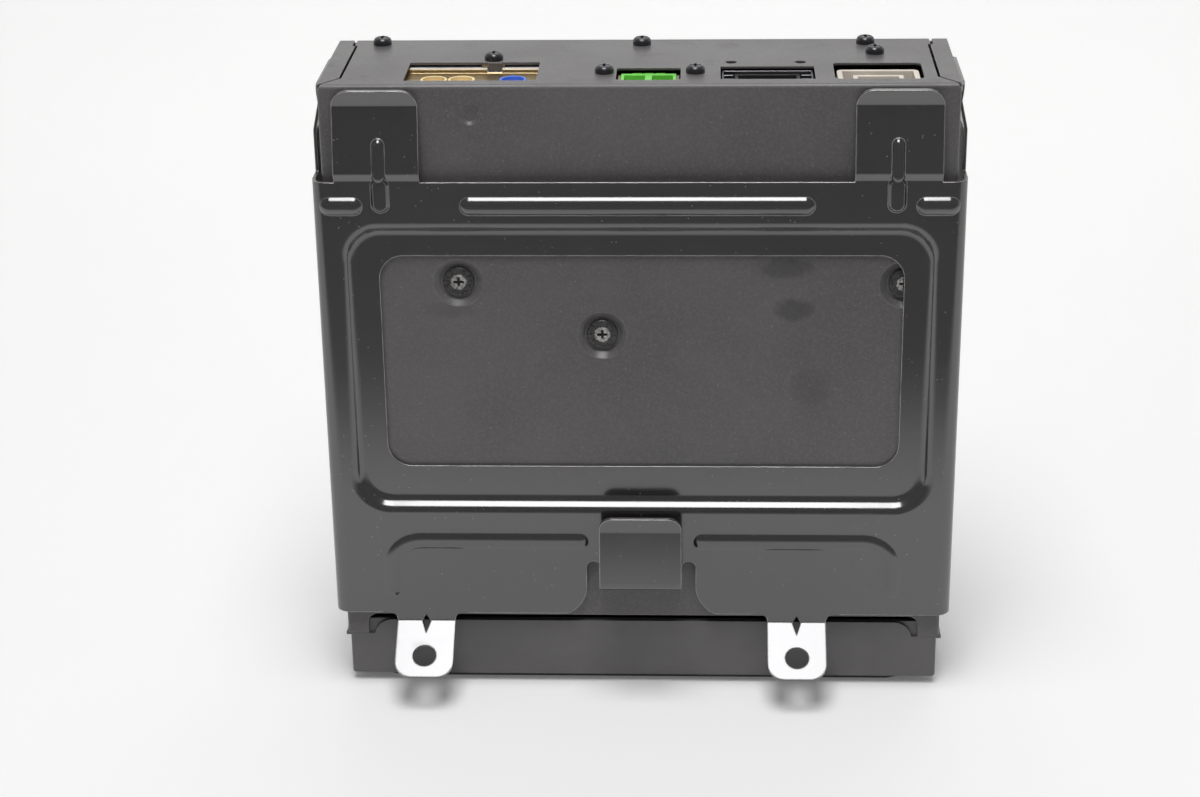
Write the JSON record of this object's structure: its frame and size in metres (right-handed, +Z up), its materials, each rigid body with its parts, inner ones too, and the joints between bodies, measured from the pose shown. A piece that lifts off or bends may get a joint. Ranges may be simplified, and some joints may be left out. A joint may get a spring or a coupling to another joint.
{
  "type": "car navigation disc drive",
  "caption": "One-DIN car navigation disc unit on its front in its steel bracket: folded chassis, rear sockets, slot with felts, eject button and loading deck.",
  "frame": {"origin": "middle of the chassis footprint on the flat front face that the unit stands on", "axes": "+Z up through the rear connector panel, +X to the right and -Y towards the viewer, out of the bracket's face with the hook"},
  "size_m": [0.1844, 0.0712, 0.1892],
  "materials": {
    "chassis_paint": "satin, nearly black",
    "bracket_paint": "glossy black",
    "deck_steel": "satin",
    "bright_steel": "bright",
    "black_screw": "black, slightly glossy",
    "black_plastic": "fine satin",
    "gear_plastic": "satin",
    "green_plastic": "satin",
    "beige_plastic": "satin",
    "tin_plate": "tinned",
    "yellow_plastic": "satin",
    "blue_plastic": "satin",
    "gold_contact": "bright",
    "felt": "soft",
    "rubber": "matte",
    "board_green": "solder-masked",
    "chip_black": "matte",
    "clear_plastic": "clear",
    "flex_film": "glossy"
  },
  "bodies": {
    "housing": {"lower_chassis": "chassis_paint", "mounting_bracket": "bracket_paint", "bracket_ears": "bracket_paint", "front_fascia": "black_plastic", "rear_panel_screws": "black_screw", "deck_screws": "black_screw", "coax_holder": "tin_plate", "coax_module_body": "beige_plastic", "coax_socket_yellow_1": "yellow_plastic", "coax_socket_yellow_2": "yellow_plastic", "coax_socket_blue": "blue_plastic", "coax_contacts": "gold_contact", "green_socket": "green_plastic", "green_socket_pins": "gold_contact", "green_socket_locks": "tin_plate", "power_socket": "black_plastic", "power_socket_shell": "tin_plate", "power_socket_pins": "gold_contact", "white_socket": "beige_plastic", "white_socket_shell": "tin_plate", "white_socket_pins": "gold_contact", "bracket_screws": "bright_steel", "top_cover": "chassis_paint", "cover_screws": "bright_steel", "disc_felts": "felt", "switch_board": "board_green", "eject_switch": "black_plastic", "indicator_led": "clear_plastic", "light_guide": "clear_plastic", "switch_board_screws": "bright_steel", "main_circuit_board": "board_green", "board_chips": "chip_black", "board_capacitors": "black_plastic", "board_ribbon_socket": "beige_plastic", "deck_posts": "deck_steel", "deck_mount_frame": "deck_steel", "damper_bushes": "rubber", "damper_screws": "bright_steel", "deck_base": "deck_steel", "deck_top_plate": "deck_steel", "spindle_motor": "bright_steel", "guide_rods": "bright_steel", "feed_motor": "bright_steel", "clamp_pin": "bright_steel", "loading_motor": "bright_steel", "deck_ribbon": "flex_film"},
    "eject_button": {"eject_button": "black_plastic"},
    "pickup": {"pickup_sled": "black_plastic", "objective_lens": "clear_plastic"},
    "lead_screw": {"lead_screw": "bright_steel"},
    "turntable": {"turntable": "black_plastic"},
    "clamp_arm": {"clamp_arm": "deck_steel"},
    "clamp_puck": {"clamp_puck": "black_plastic"},
    "cam_slider": {"cam_slider": "deck_steel"},
    "roller_bracket": {"roller_bracket": "deck_steel"},
    "roller": {"roller_shaft": "bright_steel", "roller_rubbers": "rubber", "roller_gear": "gear_plastic"},
    "idler_gear": {"idler_gear": "gear_plastic"},
    "motor_pinion": {"motor_pinion": "gear_plastic"}
  },
  "joints": [
    {"name": "eject_press", "type": "slide", "parent": "housing", "child": "eject_button", "axis": [0, 0, 1], "range_m": [0, 0.001], "stiffness_N_per_m": 1500, "springref_m": -0.0004},
    {"name": "sled_slide", "type": "slide", "parent": "housing", "child": "pickup", "axis": [0, 0, 1], "range_m": [0, 0.034]},
    {"name": "lead_screw_spin", "type": "hinge", "parent": "housing", "child": "lead_screw", "pos_m": [0.032, -0.0026, 0.12], "axis": [0, 0, 1], "range_deg": [0, 4081]},
    {"name": "turntable_spin", "type": "hinge", "parent": "housing", "child": "turntable", "pos_m": [0, 0, 0.09], "axis": [0, 1, 0], "continuous": true},
    {"name": "clamp_arm_lift", "type": "hinge", "parent": "housing", "child": "clamp_arm", "pos_m": [0, 0.014, 0.158], "axis": [1, 0, 0], "range_deg": [-2.5, 0]},
    {"name": "puck_spin", "type": "hinge", "parent": "clamp_arm", "child": "clamp_puck", "pos_m": [0, 0.013, 0.09], "axis": [0, 1, 0], "continuous": true},
    {"name": "cam_slide", "type": "slide", "parent": "housing", "child": "cam_slider", "axis": [0, 0, 1], "range_m": [0, 0.008]},
    {"name": "roller_bracket_swing", "type": "hinge", "parent": "housing", "child": "roller_bracket", "pos_m": [0, 0.0011, 0.05], "axis": [1, 0, 0], "range_deg": [-5.75, 0]},
    {"name": "roller_spin", "type": "hinge", "parent": "roller_bracket", "child": "roller", "pos_m": [0, 0.0011, 0.03], "axis": [1, 0, 0], "continuous": true},
    {"name": "idler_spin", "type": "hinge", "parent": "housing", "child": "idler_gear", "pos_m": [0.0676, 0.01442, 0.03], "axis": [1, 0, 0], "continuous": true},
    {"name": "pinion_spin", "type": "hinge", "parent": "housing", "child": "motor_pinion", "pos_m": [0.0676, 0.01442, 0.04092], "axis": [1, 0, 0], "continuous": true}
  ],
  "couplings": [
    {"joint": "lead_screw_spin", "follows": "sled_slide", "rad_per_m": 2094.4},
    {"joint": "clamp_arm_lift", "follows": "cam_slide", "rad_per_m": -5.45},
    {"joint": "roller_bracket_swing", "follows": "cam_slide", "rad_per_m": -12.5},
    {"joint": "idler_spin", "follows": "roller_spin", "ratio": -0.83333},
    {"joint": "pinion_spin", "follows": "roller_spin", "ratio": 1.6667}
  ]
}
